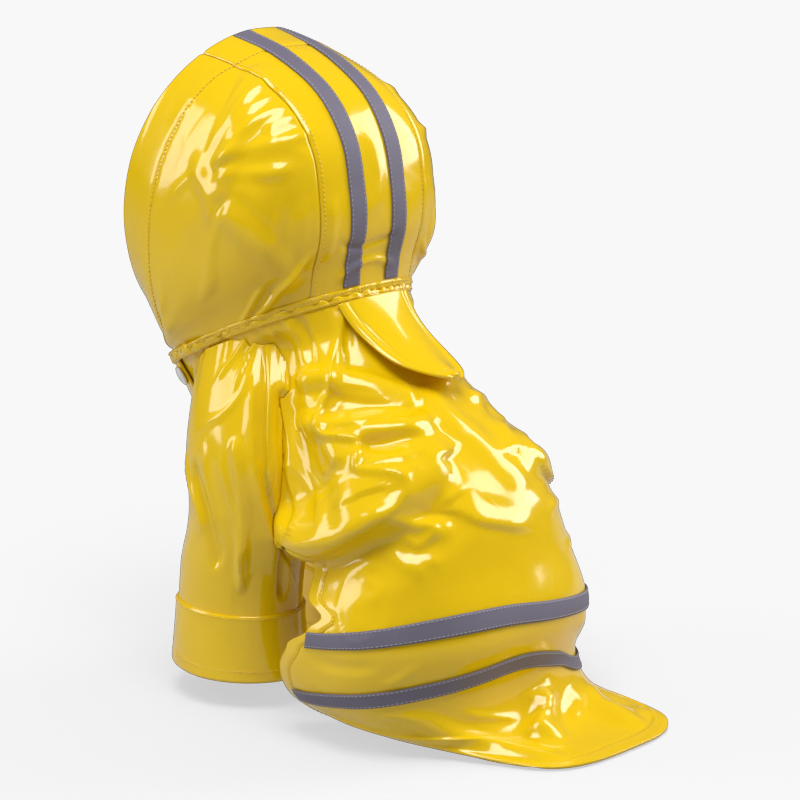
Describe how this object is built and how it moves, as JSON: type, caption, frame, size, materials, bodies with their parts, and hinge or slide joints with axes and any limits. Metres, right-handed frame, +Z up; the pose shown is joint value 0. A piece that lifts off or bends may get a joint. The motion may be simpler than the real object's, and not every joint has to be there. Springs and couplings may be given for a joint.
{
  "type": "hooded dog raincoat",
  "caption": "Hollow hooded raincoat for a small sitting dog, with two front sleeves, a flap over the neck, reflective tapes and a long back panel that trails behind",
  "frame": {"origin": "the middle of the neck opening, where the wearer's neck holds the garment up; the surface it trails on is 219 mm below", "axes": "+Z up, the wearer faces -Y, the wearer's left is +X"},
  "size_m": [0.1887, 0.3169, 0.3905],
  "materials": {
    "cloth": "glossy coated cloth",
    "tape": "woven reflective tape",
    "snap": "polished"
  },
  "bodies": {
    "root": {"hood_centre": "cloth", "hood_side_left": "cloth", "hood_side_right": "cloth", "hood_tape_left": "tape", "hood_tape_right": "tape", "neck_band": "cloth", "back_panel": "cloth", "chest_left": "cloth", "chest_right": "cloth", "sleeve_left": "cloth", "sleeve_right": "cloth", "cuff_left": "cloth", "cuff_right": "cloth", "leash_flap": "cloth", "tail_tape_upper": "tape", "tail_tape_lower": "tape", "snap_1": "snap", "snap_2": "snap", "snap_3": "snap"}
  },
  "joints": []
}
